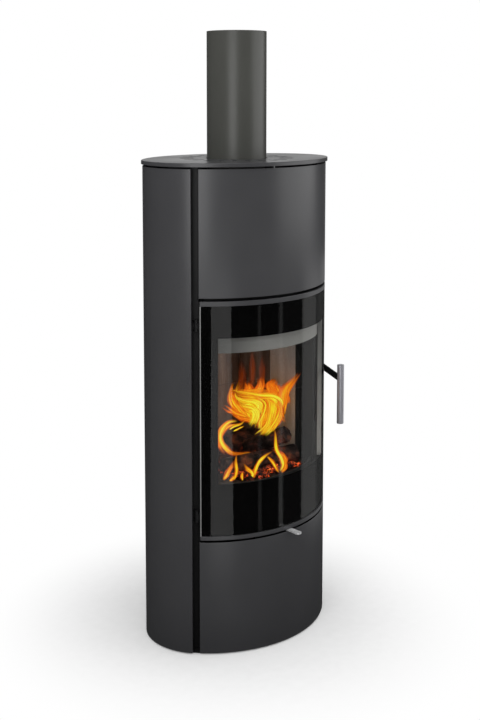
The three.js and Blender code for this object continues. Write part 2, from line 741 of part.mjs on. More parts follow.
// Two ears on a foot, and a pin through them
function hinges() {
  const footInset = postInset - hingeFoot - seat
  const eyeHalf = eyeHeight / 2
  hingeHeights.forEach((z, index) => {
    const name = index === 0 ? 'lower' : 'upper'
    const foot = band(-postTo + 2.2, -postFrom - 0.4, footInset, footInset + hingeFoot,
      eyeHeight + 2 * (earHeight + earGap), ovalPoint)
    const footMiddle = ovalPoint(-(postTo + postFrom) / 2 + 1.4, footInset + hingeFoot / 2)
    const ear = link(hingeAxis, footMiddle, eyeRadius, eyeRadius, earHeight)
    const upperEar = ear.clone().translate(0, 0, eyeHeight + earHeight + 2 * earGap)
    const bore = rod(pinRadius + pinGap, 4 * eyeHeight).translate(hingeAxis.x, hingeAxis.y, -eyeHeight)
    const trim = band(-postTo, -postFrom + 1, footInset + hingeFoot, footInset + 4 * hingeFoot,
      3 * eyeHeight, ovalPoint)
    const bracket = cut(join(foot, ear, upperEar), bore, trim.translate(0, 0, -beyond))
    const bottom = z - eyeHalf - earGap - earHeight
    place(stove, `hinge_bracket_${name}`, bracket, materials.blackPaint, 0, 0, bottom)
    const pinTall = eyeHeight + 2 * (earHeight + earGap) + pinHead
    const pin = join(rod(pinRadius, pinTall), rod(pinRadius + pinHead, pinHead).translate(0, 0, pinTall))
    place(stove, `hinge_pin_${name}`, pin, materials.plainSteel,
      hingeAxis.x, hingeAxis.y, bottom - pinHead + seat)
  })
}

// ---------------------------------------------------------------- door
const door = new THREE.Group()
stove.add(door)
const frameInset = panelInset + glassRecess + glassThick + 2 * seat + gasketTape
const frameBack = frameInset + frameThick

function doorFrame() {
  const tall = doorTop - doorBottom
  const frame = band(-doorAngle, doorAngle, frameInset, frameBack, tall)
  const opening = band(-windowHalfAngle, windowHalfAngle, frameInset - beyond, frameBack + beyond,
    windowTop - windowBottom)
    .translate(0, 0, windowBottom - doorBottom)
  const lipAngle = deg(edgeLip / faceRadius)
  const leftLip = band(-doorAngle, -doorAngle + lipAngle, panelInset, frameInset + 1, tall)
  const rightLip = band(doorAngle - lipAngle, doorAngle, panelInset, frameInset + 1, tall)
  const frameEnd = facePoint(-doorAngle + 1, (frameInset + frameBack) / 2)
  const eyes = hingeHeights.map((z) => link(hingeAxis, frameEnd, eyeRadius, 3.5, eyeHeight)
    .translate(0, 0, z - eyeHeight / 2 - doorBottom))
  const bores = hingeHeights.map((z) => rod(pinRadius + pinGap, 2 * eyeHeight)
    .translate(hingeAxis.x, hingeAxis.y, z - eyeHeight - doorBottom))
  const pivotBore = rod(pivotRadius + pinGap, pivotShank + 8 * beyond).rotateY(Math.PI / 2)
    .translate(pivotX - pivotShank - beyond, pivotY, pivotHeight - doorBottom)
  const solid = [leftLip, rightLip, ...eyes].reduce((sum, piece) => sum.add(toSolid(piece)), toSolid(frame))
  const drilled = [opening, ...bores, pivotBore].reduce((sum, tool) => sum.subtract(toSolid(tool)), solid)
  place(door, 'door_frame', fromSolid(drilled), materials.blackPaint, 0, 0, doorBottom)

  const stripAngle = doorAngle - lipAngle - deg(seat / faceRadius)
  const strip = (thick) => band(-stripAngle, stripAngle, panelInset, frameInset - seat, thick)
  place(door, 'door_top_strip', strip(topStrip), materials.shellPaint, 0, 0, doorTop - topStrip)
  place(door, 'door_bottom_strip', strip(bottomStrip), materials.shellPaint, 0, 0, doorBottom)

  const glassInset = panelInset + glassRecess
  const glassBottom = doorBottom + bottomStrip + seat
  const glassTall = doorTop - topStrip - seat - glassBottom
  place(door, 'door_glass', band(-stripAngle, stripAngle, glassInset, glassInset + glassThick, glassTall),
    materials.ceramicGlass, 0, 0, glassBottom)

  const tapeInset = glassInset + glassThick + seat
  const tapeAngle = windowHalfAngle + deg(tapeWidth / faceRadius)
  const tape = (grow) => band(-windowHalfAngle - grow, windowHalfAngle + grow, tapeInset - 1,
    tapeInset + gasketTape + 1, windowTop - windowBottom)
  const tapeOuter = band(-tapeAngle, tapeAngle, tapeInset, tapeInset + gasketTape,
    windowTop - windowBottom + 2 * tapeWidth)
  place(door, 'glass_gasket', cut(tapeOuter, tape(0).translate(0, 0, tapeWidth)), materials.rope,
    0, 0, windowBottom - tapeWidth)

  const ropeIn = mouthHalfAngle + deg(ropeMargin / 2 / faceRadius)
  const ropeOut = ropeIn + deg(ropeWidth / faceRadius)
  const ropeBottom = mouthBottom - ropeMargin - ropeWidth
  const ropeTop = windowTop + ropeMargin + ropeWidth
  const ropeInset = frameBack + seat
  const ropeBand = band(-ropeOut, ropeOut, ropeInset, frontInset - seat, ropeTop - ropeBottom)
  const ropeHole = band(-ropeIn, ropeIn, ropeInset - beyond, frontInset + beyond,
    ropeTop - ropeBottom - 2 * ropeWidth)
    .translate(0, 0, ropeWidth)
  place(door, 'door_gasket', cut(ropeBand, ropeHole), materials.rope, 0, 0, ropeBottom)
}

// ---------------------------------------------------------------- handle
const barX = frontHalfWidth + barBeside
const armBarHeight = barBottom + barLength - armBelowBarTop
const pivotX = barX + armThick / 2
const pivotY = facePoint(doorAngle, frameInset).y + frameThick / 7
const handle = new THREE.Group()
handle.position.set(barX, pivotY, pivotHeight)
door.add(handle)

// The arm lies in an upright plane beside the door: bar end, pivot, and a hook behind the pivot
function doorHandle() {
  const barAt = new THREE.Vector2(-barReach, armBarHeight - pivotHeight)
  const pivotAt = new THREE.Vector2(0, 0)
  const hookAt = new THREE.Vector2(hookReach, hookRise)
  const arm = link(barAt, pivotAt, armWidth / 2, armWidth / 2, armThick)
  const hook = link(hookAt, pivotAt, hookRadius, armWidth / 2, armThick)
  const bore = rod(pivotRadius + pinGap, 3 * armThick).translate(0, 0, -armThick)
  const barBore = rod(barDiameter / 2 + seat, barLength).rotateX(Math.PI / 2)
    .translate(barAt.x, barAt.y + barLength / 2, armThick / 2)
  const flat = cut(join(arm, hook), bore, barBore)
  flat.rotateY(Math.PI / 2).rotateX(Math.PI / 2)
  flat.translate(-armThick / 2, 0, 0)
  place(handle, 'handle_arm', flat, materials.blackPaint)
  place(handle, 'handle_bar', rod(barDiameter / 2, barLength, 28), materials.polished,
    0, barAt.x, barBottom - pivotHeight)
}

function pivotPin() {
  const shank = rod(pivotRadius, pivotShank, 20)
  const head = rod(pivotRadius + pinHead, pinHead, 20).translate(0, 0, pivotShank)
  const pin = join(shank, head).rotateY(Math.PI / 2)
  place(door, 'handle_pivot_pin', pin, materials.plainSteel,
    pivotX + seat - pivotShank, pivotY, pivotHeight)
}

baseAndCladding()
topPlate()
fireboxBody()
flue()
lining()
grate()
mouthRails()
firewood()
airSupply()
ashPan()
airLever()
channelPosts()
panelBrackets()
hinges()
doorFrame()
doorHandle()
pivotPin()

export default stove
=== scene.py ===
"""Oval sheet-steel wood stove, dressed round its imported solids. Metres, +Z up, the door faces -Y."""
import json
import math
import random

import bmesh
import bpy
from mathutils import Matrix, Vector, noise

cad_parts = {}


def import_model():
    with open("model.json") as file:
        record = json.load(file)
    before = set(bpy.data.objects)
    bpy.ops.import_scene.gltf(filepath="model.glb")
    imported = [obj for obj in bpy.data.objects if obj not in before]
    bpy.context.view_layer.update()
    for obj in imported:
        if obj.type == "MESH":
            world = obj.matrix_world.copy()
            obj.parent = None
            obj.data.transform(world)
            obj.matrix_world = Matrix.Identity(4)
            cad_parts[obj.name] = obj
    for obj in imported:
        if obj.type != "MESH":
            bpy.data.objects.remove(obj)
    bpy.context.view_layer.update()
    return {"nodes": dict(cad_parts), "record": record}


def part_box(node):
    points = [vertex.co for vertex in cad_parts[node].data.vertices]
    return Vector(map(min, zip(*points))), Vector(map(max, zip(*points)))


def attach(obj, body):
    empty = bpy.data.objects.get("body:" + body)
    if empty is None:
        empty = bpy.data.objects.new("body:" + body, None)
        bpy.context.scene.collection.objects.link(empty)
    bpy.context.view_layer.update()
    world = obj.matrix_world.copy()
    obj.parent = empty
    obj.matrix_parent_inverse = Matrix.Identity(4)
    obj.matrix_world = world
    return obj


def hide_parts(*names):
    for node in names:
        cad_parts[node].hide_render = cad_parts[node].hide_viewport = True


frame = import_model()

MM = 0.001
BODY_OF = {node: body for body, members in frame["record"]["behaviour"]["bodies"].items() for node in members}
SLOT_OF = {name: node.material_slots[0].material.name.split(".")[0] for name, node in frame["nodes"].items()}

# ---------------------------------------------------------------- sizes of the stove, in millimetres
HALF_WIDTH = 265.0
HALF_DEPTH = 200.0
SIDE_RADIUS = 148.0
FACE_RADIUS = ((HALF_WIDTH**2 + HALF_DEPTH**2 - 2 * HALF_WIDTH * SIDE_RADIUS)
               / (2 * (HALF_DEPTH - SIDE_RADIUS)))
FACE_CENTRE = FACE_RADIUS - HALF_DEPTH
SIDE_CENTRE = HALF_WIDTH - SIDE_RADIUS
JOIN_ANGLE = math.degrees(math.atan2(SIDE_CENTRE, FACE_CENTRE))

SHEET = 2.0
SHELL_INSET = 3.0
PANEL_INSET = 4.5
FOLD_INSET = 11.5
FRONT_HALF_WIDTH = 216.6
DOOR_ANGLE = math.degrees(math.asin(FRONT_HALF_WIDTH / (FACE_RADIUS - PANEL_INSET)))
SHELL_ANGLE = DOOR_ANGLE + 5.0
REAR_ANGLE = 131.0
REAR_SEAM = 0.45
PLATE_TOP = 1200.0
SHELL_TOP = 1186.0
FLOOR_GAP = 3.0
UPPER_PANEL_LOW = 880.0
LOWER_PANEL_HIGH = 282.8
PIPE_INNER, PIPE_OUTER = 73.0, 75.0
PIPE_LOW, PIPE_TOP = 1130.0, 1515.0
PIPE_HOLE = 78.0
VENT_ROWS = ((63.0, 123.0), (1056.0, 1116.0))
VENT_COUNT, VENT_STEP, VENT_WIDTH = 11, 6.5, 8.0  # the step in degrees of plan
SLOT_COUNT = 24
SLOT_INNER, SLOT_OUTER, SLOT_WIDTH = 108.0, 146.0, 11.0


def oval_point(angle, inset):
    """A point of the oval; the angle is the wall normal's: 0 front, 90 right, 180 back."""
    nx = math.sin(math.radians(angle))
    ny = -math.cos(math.radians(angle))
    on_side = abs(nx) > math.sin(math.radians(JOIN_ANGLE))
    radius = (SIDE_RADIUS if on_side else FACE_RADIUS) - inset
    centre_x = math.copysign(SIDE_CENTRE, nx) if on_side else 0.0
    centre_y = 0.0 if on_side else -math.copysign(FACE_CENTRE, ny)
    return centre_x + radius * nx, centre_y + radius * ny


def face_point(angle, inset):
    """The same, always on the front face's arc."""
    radius = FACE_RADIUS - inset
    return radius * math.sin(math.radians(angle)), FACE_CENTRE - radius * math.cos(math.radians(angle))


def steps(start, end, size):
    count = max(1, math.ceil(abs(end - start) / size))
    return [start + (end - start) * i / count for i in range(count + 1)]


def arc(point_at, start, end, inset, size=1.5):
    return [point_at(angle, inset) for angle in steps(start, end, size)]


# ---------------------------------------------------------------- meshes
def finish_piece(name, bm, material, body, nodes=(), bevel=0.0, segments=2, smooth=35.0):
    """Makes the piece's object from its mesh, in millimetres until here."""
    bmesh.ops.scale(bm, vec=(MM, MM, MM), verts=bm.verts)
    bmesh.ops.recalc_face_normals(bm, faces=bm.faces)
    mesh = bpy.data.meshes.new(name)
    bm.to_mesh(mesh)
    bm.free()
    mesh.shade_smooth()
    mesh.set_sharp_from_angle(angle=math.radians(smooth))
    mesh.materials.append(material)
    piece = bpy.data.objects.new(name, mesh)
    bpy.context.scene.collection.objects.link(piece)
    if bevel:
        edge = piece.modifiers.new("edge", "BEVEL")
        edge.width = bevel * MM
        edge.segments = segments
        edge.limit_method = "ANGLE"
        edge.angle_limit = math.radians(40)
        edge.harden_normals = True
    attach(piece, body)
    if nodes:
        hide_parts(*nodes)


def strip_mesh(outer, inner, low, high, closed=False):
    """An upright wall between two lines of plan points, as quads all round."""
    bm = bmesh.new()
    rows = [[bm.verts.new((x, y, z)) for x, y in line] for line, z in
            ((outer, low), (outer, high), (inner, high), (inner, low))]
    count = len(outer)
    spans = [(i, (i + 1) % count) for i in range(count if closed else count - 1)]
    for i, j in spans:
        for a, b in ((0, 1), (1, 2), (2, 3), (3, 0)):
            bm.faces.new((rows[a][i], rows[a][j], rows[b][j], rows[b][i]))
    if not closed:
        for i in (0, count - 1):
            bm.faces.new([row[i] for row in rows])
    return bm


def folded_lines(start, end, outer, fold_end, point_at=oval_point):
    """Plan lines of a curved sheet whose two upright edges are folded in."""
    def edge(angle):
        on_side = abs(math.sin(math.radians(angle))) > math.sin(math.radians(JOIN_ANGLE))
        return math.degrees(SHEET / ((SIDE_RADIUS if on_side else FACE_RADIUS) - outer))

    inside_start = start + edge(start)
    inside_end = end - edge(end)
    line = arc(point_at, start, end, outer)
    inside = [point_at(inside_start + (inside_end - inside_start) * i / (len(line) - 1), outer + SHEET)
              for i in range(len(line))]
    return ([point_at(start, fold_end), *line, point_at(end, fold_end)],
            [point_at(inside_start, fold_end), *inside, point_at(inside_end, fold_end)])


def cell_wall(point_at, angles, heights, outer, inner, solid):
    """A curved wall on a grid of angles and heights, left out where solid says False."""
    bm = bmesh.new()
    verts = {}

    def vert(i, j, side):
        key = (i, j, side)
        if key not in verts:
            x, y = point_at(angles[i], inner if side else outer)
            verts[key] = bm.verts.new((x, y, heights[j]))
        return verts[key]

    columns, rows = len(angles) - 1, len(heights) - 1

    def is_solid(i, j):
        return 0 <= i < columns and 0 <= j < rows and solid(
            (angles[i] + angles[i + 1]) / 2, (heights[j] + heights[j + 1]) / 2)

    for i in range(columns):
        for j in range(rows):
            if not is_solid(i, j):
                continue
            for side in (0, 1):
                bm.faces.new((vert(i, j, side), vert(i + 1, j, side),
                              vert(i + 1, j + 1, side), vert(i, j + 1, side)))
            for di, dj, a, b in ((-1, 0, (i, j), (i, j + 1)), (1, 0, (i + 1, j), (i + 1, j + 1)),
                                 (0, -1, (i, j), (i + 1, j)), (0, 1, (i, j + 1), (i + 1, j + 1))):
                if not is_solid(i + di, j + dj):
                    bm.faces.new((vert(*a, 0), vert(*b, 0), vert(*b, 1), vert(*a, 1)))
    return bm


def framed_wall(half, outer, inner, low, high, opening_half, opening_low, opening_high, size=1.5):
    """A curved wall on the front face with one opening."""
    angles = sorted({*steps(-half, -opening_half, size), *steps(-opening_half, opening_half, size),
                     *steps(opening_half, half, size)})
    heights = [low, opening_low, opening_high, high]

    def solid(angle, z):
        return abs(angle) > opening_half or not opening_low < z < opening_high

    return cell_wall(face_point, angles, heights, outer, inner, solid)


def lathe(profile, segments=64, start=(0.0, 0.0)):
    """A closed profile of (radius, z) turned round the upright line through start."""
    bm = bmesh.new()
    rings = []
    for k in range(segments):
        turn = 2 * math.pi * k / segments
        rings.append([bm.verts.new((start[0] + r * math.cos(turn), start[1] + r * math.sin(turn), z))
                      for r, z in profile])
    for k in range(segments):
        here, there = rings[k], rings[(k + 1) % segments]
        for i in range(len(profile)):
            j = (i + 1) % len(profile)
            bm.faces.new((here[i], there[i], there[j], here[j]))
    return bm


def eased(node, width, material, segments=2):
    """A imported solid's own shape again, with its sharp edges rounded."""
    bm = bmesh.new()
    bm.from_mesh(frame["nodes"][node].data)
    bmesh.ops.remove_doubles(bm, verts=bm.verts, dist=0.01 * MM)
    bmesh.ops.dissolve_limit(bm, angle_limit=math.radians(0.2), verts=bm.verts, edges=bm.edges)
    bmesh.ops.scale(bm, vec=(1 / MM, 1 / MM, 1 / MM), verts=bm.verts)
    finish_piece(f"{node}_eased", bm, material, BODY_OF[node], [node], width, segments)


# ---------------------------------------------------------------- materials
def add_node(tree, kind, values=None, links=None, **options):
    """A shader node with its options, socket values and incoming links."""
    node = tree.nodes.new(kind)
    for key, value in options.items():
        setattr(node, key, value)
    for key, value in (values or {}).items():
        node.inputs[key].default_value = value
    for key, source in (links or {}).items():
        tree.links.new(source, node.inputs[key])
    return node


class Nodes:
    """A material's node tree, built a line at a time."""

    def __init__(self, name):
        self.material = bpy.data.materials.new(name)
        self.material.use_nodes = True
        self.tree = self.material.node_tree
        self.tree.nodes.clear()
        self.output = self.add("ShaderNodeOutputMaterial")
        self.place = self.add("ShaderNodeTexCoord").outputs["Object"]

    def add(self, kind, values=None, links=None, **options):
        return add_node(self.tree, kind, values, links, **options)

    def stretched(self, scale):
        return self.add("ShaderNodeMapping", {"Scale": scale}, {"Vector": self.place}).outputs["Vector"]

    def noise(self, scale, detail=3.0, rough=0.5, where=None, distortion=0.0):
        node = self.add("ShaderNodeTexNoise",
                        {"Scale": scale, "Detail": detail, "Roughness": rough, "Distortion": distortion},
                        {"Vector": where or self.place})
        return node.outputs["Fac"]

    def ramp(self, source, stops):
        node = self.add("ShaderNodeValToRGB", links={"Fac": source})
        elements = node.color_ramp.elements
        while len(elements) < len(stops):
            elements.new(0.5)
        for element, (position, colour) in zip(elements, stops):
            element.position = position
            element.color = (*colour, 1.0)
        return node.outputs["Color"]

    def spread(self, source, low, high, start=0.3, end=0.7):
        node = self.add("ShaderNodeMapRange",
                        {"From Min": start, "From Max": end, "To Min": low, "To Max": high},
                        {"Value": source})
        return node.outputs["Result"]

    def faded(self, colour, axis, start, end, low, high):
        """The colour times low at start, changing to high at end, along an axis of the object."""
        place = self.add("ShaderNodeSeparateXYZ", links={"Vector": self.place}).outputs[axis]
        share = self.spread(place, low, high, start, end)
        node = self.add("ShaderNodeVectorMath", links={0: colour, "Scale": share}, operation="SCALE")
        return node.outputs["Vector"]

    def bump(self, source, strength, distance, normal=None):
        links = {"Height": source}
        if normal:
            links["Normal"] = normal
        node = self.add("ShaderNodeBump", {"Strength": strength, "Distance": distance}, links)
        return node.outputs["Normal"]

    def surface(self, values, links):
        shader = self.add("ShaderNodeBsdfPrincipled", values, links)
        self.tree.links.new(shader.outputs["BSDF"], self.output.inputs["Surface"])
        return self.material


FIRE_FOOT = (0.03, -0.055, 0.435)


def shade(colour, factor):
    return tuple(min(1.0, c * factor) for c in colour)


def paint(name, colour, rough, grain=1800.0, cloud=7.0, change=0.08, bump=0.12, level=0.5, fade=None):
    """Sprayed stove paint: clouds of tone, fine grain, uneven gloss, and perhaps a fade along an axis."""
    n = Nodes(name)
    clouds = n.noise(cloud, 4.0)
    fine = n.noise(grain, 2.0)
    tone = n.ramp(clouds, [(0.3, shade(colour, 1 - change)), (0.7, shade(colour, 1 + change))])
    mix = n.add("ShaderNodeMix", {"Factor": 0.35, "B": (*colour, 1.0)}, data_type="RGBA", blend_type="MIX")
    n.tree.links.new(tone, mix.inputs[6])
    speck = n.ramp(fine, [(0.35, shade(colour, 0.82)), (0.65, shade(colour, 1.18))])
    n.tree.links.new(speck, mix.inputs[7])
    base = mix.outputs[2]
    if fade:
        base = n.faded(base, *fade)
    return n.surface({"Specular IOR Level": level},
                     {"Base Color": base,
                      "Roughness": n.spread(clouds, rough - 0.04, rough + 0.04),
                      "Normal": n.bump(fine, bump, 0.00025)})


def brushed(name, colour, rough, along, metallic=1.0):
    """Ground or drawn steel, with its lines along one axis."""
    n = Nodes(name)
    lines = n.noise(1.0, 5.0, 0.65, n.stretched(along))
    clouds = n.noise(30.0, 2.0)
    return n.surface({"Metallic": metallic},
                     {"Base Color": n.ramp(lines, [(0.3, shade(colour, 0.8)), (0.7, shade(colour, 1.12))]),
                      "Roughness": n.spread(lines, rough - 0.07, rough + 0.09),
                      "Normal": n.bump(clouds, 0.05, 0.0002, n.bump(lines, 0.15, 0.0002))})


def rough_metal(name, colour, rough, grain, bump, metallic=0.4):
    n = Nodes(name)
    coarse = n.noise(grain, 5.0, 0.6)
    wide = n.noise(14.0, 3.0)
    return n.surface({"Metallic": metallic},
                     {"Base Color": n.ramp(wide, [(0.3, shade(colour, 0.75)), (0.7, shade(colour, 1.3))]),
                      "Roughness": n.spread(coarse, rough - 0.08, rough + 0.08),
                      "Normal": n.bump(coarse, bump, 0.0008)})


def fireclay_material(name, dark, middle, pale, soot, fade=None):
    """Cast firebrick: pale grainy face, clouds of soot in upright streaks, and perhaps a brightness ramp along
    one axis of the object.
    """
    n = Nodes(name)
    grain = n.noise(260.0, 6.0, 0.65)
    clouds = n.noise(1.0, 5.0, 0.6, n.stretched((26.0, 26.0, 3.5)))
    colour = n.ramp(clouds, [(0.3, dark), (0.5, middle), (0.68, pale)])
    specks = n.ramp(grain, [(0.35, (0.6, 0.58, 0.54)), (0.6, (1.0, 1.0, 1.0))])
    mix = n.add("ShaderNodeMix", {"Factor": soot}, data_type="RGBA", blend_type="MULTIPLY")
    n.tree.links.new(colour, mix.inputs[6])
    n.tree.links.new(specks, mix.inputs[7])
    base = mix.outputs[2]
    if fade:
        base = n.faded(base, *fade)
    return n.surface({"Specular IOR Level": 0.2},
                     {"Base Color": base, "Roughness": n.spread(grain, 0.82, 0.96),
                      "Normal": n.bump(grain, 0.35, 0.0012)})


def rope_material():
    n = Nodes("glass_rope")
    wave = n.add("ShaderNodeTexWave", {"Scale": 160.0, "Distortion": 3.0, "Detail": 2.0},
                 {"Vector": n.place}, bands_direction="DIAGONAL")
    colour = n.ramp(wave.outputs["Fac"], [(0.2, (0.02, 0.02, 0.019)), (0.8, (0.09, 0.088, 0.082))])
    return n.surface({"Specular IOR Level": 0.15},
                     {"Base Color": colour, "Roughness": n.spread(wave.outputs["Fac"], 0.85, 0.98),
                      "Normal": n.bump(wave.outputs["Fac"], 0.6, 0.001)})


def near_fire(n, centre, reach):
    """1 at the fire's foot, falling to 0 at reach."""
    gap = n.add("ShaderNodeVectorMath", {1: centre}, {0: n.place}, operation="DISTANCE")
    return n.spread(gap.outputs["Value"], 1.0, 0.0, 0.25 * reach, reach)


def times(n, a, b):
    node = n.add("ShaderNodeMath", links={0: a, 1: b}, operation="MULTIPLY")
    return node.outputs[0]


def charred_material(name, crust, glow_level, glow_reach, crack_scale):
    """Burnt wood: black scales with brown fibre between, and embers in the cracks near the fire's foot."""
    n = Nodes(name)
    cracks = n.add("ShaderNodeTexVoronoi", {"Scale": crack_scale, "Randomness": 0.9},
                   {"Vector": n.place}, feature="DISTANCE_TO_EDGE").outputs["Distance"]
    fibre = n.noise(130.0, 5.0, 0.6)
    patches = n.noise(30.0, 4.0, 0.6)
    hot = times(n, n.spread(patches, 0.0, 1.0, 0.42, 0.62), near_fire(n, FIRE_FOOT, glow_reach))
    gaps = times(n, n.spread(cracks, 1.0, 0.0, 0.0, 0.12), hot)
    colour = n.ramp(patches, [(0.35, crust), (0.5, shade(crust, 5.0)), (0.68, (0.15, 0.058, 0.03))])
    ember = n.ramp(gaps, [(0.0, (0.0, 0.0, 0.0)), (0.35, (0.12, 0.008, 0.002)), (0.7, (0.8, 0.09, 0.01)),
                          (1.0, (1.0, 0.42, 0.06))])
    return n.surface({"Specular IOR Level": 0.15, "Emission Strength": glow_level},
                     {"Base Color": colour, "Emission Color": ember,
                      "Roughness": n.spread(fibre, 0.8, 0.97),
                      "Normal": n.bump(cracks, 0.6, 0.002, n.bump(fibre, 0.5, 0.001))})


def flame_material():
    """Burning gas: red and thin at edges and tips, yellow and dense in the middle, in drawn-out streaks."""
    n = Nodes("flame")

    def own(name):
        return n.add("ShaderNodeAttribute", attribute_name=name).outputs["Fac"]

    across, along, heat, seed = own("across"), own("along"), own("warmth"), own("seed")
    flow = n.add("ShaderNodeCombineXYZ", links={"X": across, "Y": along, "Z": seed})
    streaks = n.add("ShaderNodeTexNoise", {"Scale": 1.0, "Detail": 2.0, "Roughness": 0.55, "Distortion": 0.5},
                    {"Vector": n.add("ShaderNodeMapping", {"Scale": (3.2, 2.2, 7.0)},
                                     {"Vector": flow.outputs[0]}).outputs[0]}).outputs["Fac"]
    edge = n.add("ShaderNodeMath", links={0: across}, operation="ABSOLUTE").outputs[0]
    body = n.spread(edge, 1.0, 0.0, 0.05, 0.97)
    tip = n.spread(along, 1.0, 0.0, 0.45, 1.0)
    lively = n.add("ShaderNodeMath", {1: -0.5}, {0: streaks}, operation="ADD").outputs[0]
    swing = n.add("ShaderNodeMath", {1: 2.0}, {0: lively}, operation="MULTIPLY").outputs[0]
    core = n.add("ShaderNodeMath", links={0: times(n, body, n.spread(tip, 0.35, 1.0, 0.0, 1.0)), 1: swing},
                 operation="ADD").outputs[0]
    warm = times(n, core, heat)
    colour = n.ramp(warm, [(0.0, (0.5, 0.04, 0.003)), (0.2, (0.88, 0.13, 0.006)), (0.42, (1.0, 0.27, 0.01)),
                           (0.62, (1.0, 0.5, 0.015)), (0.8, (1.0, 0.8, 0.02)), (1.0, (1.0, 0.92, 0.06))])
    ends = times(n, n.spread(tip, 0.0, 1.0, 0.0, 0.7), n.spread(along, 0.0, 1.0, 0.0, 0.14))
    cover = times(n, n.spread(core, 0.0, 1.0, 0.04, 0.72), ends)
    glow = n.add("ShaderNodeEmission", {"Strength": 1.0}, {"Color": colour})
    clear = n.add("ShaderNodeBsdfTransparent")
    mix = n.add("ShaderNodeMixShader", links={"Fac": times(n, cover, own("cover")), 1: clear.outputs[0],
                                              2: glow.outputs[0]})
    n.tree.links.new(mix.outputs["Shader"], n.output.inputs["Surface"])
    return n.material


def glass_material():
    """Clear ceramic glass: what lies behind shows through, and the surface mirrors the lights."""
    n = Nodes("ceramic_glass")
    waves = n.noise(3.0, 1.0)
    normal = n.bump(waves, 0.02, 0.0004)
    mirror = n.add("ShaderNodeBsdfGlossy", {"Roughness": 0.03}, {"Normal": normal})
    clear = n.add("ShaderNodeBsdfTransparent", {"Color": (0.93, 0.93, 0.92, 1.0)})
    edge = n.add("ShaderNodeFresnel", {"IOR": 1.5}, {"Normal": normal})
    share = n.add("ShaderNodeMath", operation="MULTIPLY")
    n.tree.links.new(n.spread(edge.outputs["Fac"], 0.02, 0.075, 0.04, 1.0), share.inputs[0])
    n.tree.links.new(n.spread(waves, 0.95, 1.05), share.inputs[1])
    mix = n.add("ShaderNodeMixShader")
    n.tree.links.new(share.outputs[0], mix.inputs["Fac"])
    n.tree.links.new(clear.outputs["BSDF"], mix.inputs[1])
    n.tree.links.new(mirror.outputs["BSDF"], mix.inputs[2])
    n.tree.links.new(mix.outputs["Shader"], n.output.inputs["Surface"])
    return n.material


SHELL = paint("shell_paint", (0.046, 0.046, 0.049), 0.33, level=0.6)
FLUE = paint("flue_paint", (0.062, 0.063, 0.056), 0.34, cloud=5.0)
BLACK = paint("black_paint", (0.008, 0.008, 0.0085), 0.5, change=0.15, level=0.3)
PRINT = paint("black_print", (0.0015, 0.0015, 0.0016), 0.7, grain=900.0, bump=0.02, level=0.0)
STEEL = brushed("plain_steel", (0.36, 0.36, 0.365), 0.4, (60.0, 60.0, 900.0), 0.85)
POLISHED = brushed("polished_steel", (0.5, 0.5, 0.54), 0.3, (700.0, 700.0, 6.0), 0.6)
SATIN = brushed("satin_steel", (0.85, 0.85, 0.86), 0.3, (900.0, 900.0, 9.0), 0.55)
CAST = rough_metal("cast_iron", (0.03, 0.03, 0.031), 0.7, 220.0, 0.4)
# The rail is drawn darker towards its left end, down to 0.42 of its colour at x -0.145 m.
RAIL = paint("rail_paint", (0.24, 0.24, 0.235), 0.55, fade=("X", -0.145, -0.06, 0.42, 1.0))
# The lining is drawn 1.5 times lighter at the window's foot, falling to 0.7 times at z 0.72 m.
JAMB = paint("jamb_paint", (0.24, 0.24, 0.235), 0.55, fade=("Z", 0.42, 0.72, 1.5, 0.7))
EDGE = paint("edge_paint", (0.2, 0.2, 0.2), 0.4)
# The side bricks are drawn near black on their front end faces, by a ramp along Y.
CLAY = fireclay_material("fireclay", (0.39, 0.39, 0.385), (0.54, 0.545, 0.54), (0.66, 0.665, 0.66), 0.4,
                         ("Y", -0.0592, -0.056, 0.04, 1.0))
# These bricks are drawn 1.9 times as bright left of x 0.045 m, and 0.8 times as bright right of x 0.075 m.
SOOTY_CLAY = fireclay_material("sooty_fireclay", (0.062, 0.043, 0.033), (0.135, 0.102, 0.083),
                               (0.22, 0.18, 0.152), 0.6, ("X", 0.045, 0.075, 1.9, 0.8))
ASHES = fireclay_material("ashes", (0.012, 0.01, 0.009), (0.03, 0.025, 0.023), (0.07, 0.06, 0.055), 0.6)
ROPE = rope_material()
CHAR = charred_material("charred_wood", (0.006, 0.004, 0.0035), 0.22, 0.13, 55.0)
EMBER = charred_material("embers", (0.009, 0.005, 0.004), 2.6, 0.24, 130.0)
FLAME = flame_material()
GLASS = glass_material()

NODE_MATERIALS = {
    "shell_paint": SHELL, "black_paint": BLACK, "flue_paint": FLUE, "plain_steel": STEEL,
    "polished_steel": POLISHED, "cast_iron": CAST, "ceramic_glass": GLASS, "fireclay": CLAY,
    "glass_rope": ROPE, "firewood": CHAR,
}


def dress_nodes():
    """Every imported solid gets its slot's worked material."""
    for name, node in frame["nodes"].items():
        node.material_slots[0].material = NODE_MATERIALS[SLOT_OF[name]]


# ---------------------------------------------------------------- cladding
def cladding():
    for side, start, end in (("right", SHELL_ANGLE, REAR_ANGLE), ("left", -REAR_ANGLE, -SHELL_ANGLE)):
        lines = folded_lines(start, end, SHELL_INSET, FOLD_INSET)
        finish_piece(f"{side}_shell", strip_mesh(*lines, FLOOR_GAP, SHELL_TOP), SHELL, "root",
                     [f"{side}_side_shell"], 0.8, 3)
    for name, low, high, node in (("upper_panel", UPPER_PANEL_LOW, SHELL_TOP, "upper_front_panel"),
                                  ("lower_panel", FLOOR_GAP, LOWER_PANEL_HIGH, "lower_front_panel")):
        lines = folded_lines(-DOOR_ANGLE, DOOR_ANGLE, PANEL_INSET, FOLD_INSET, face_point)
        finish_piece(name, strip_mesh(*lines, low, high), SHELL, "root", [node], 0.7, 3)


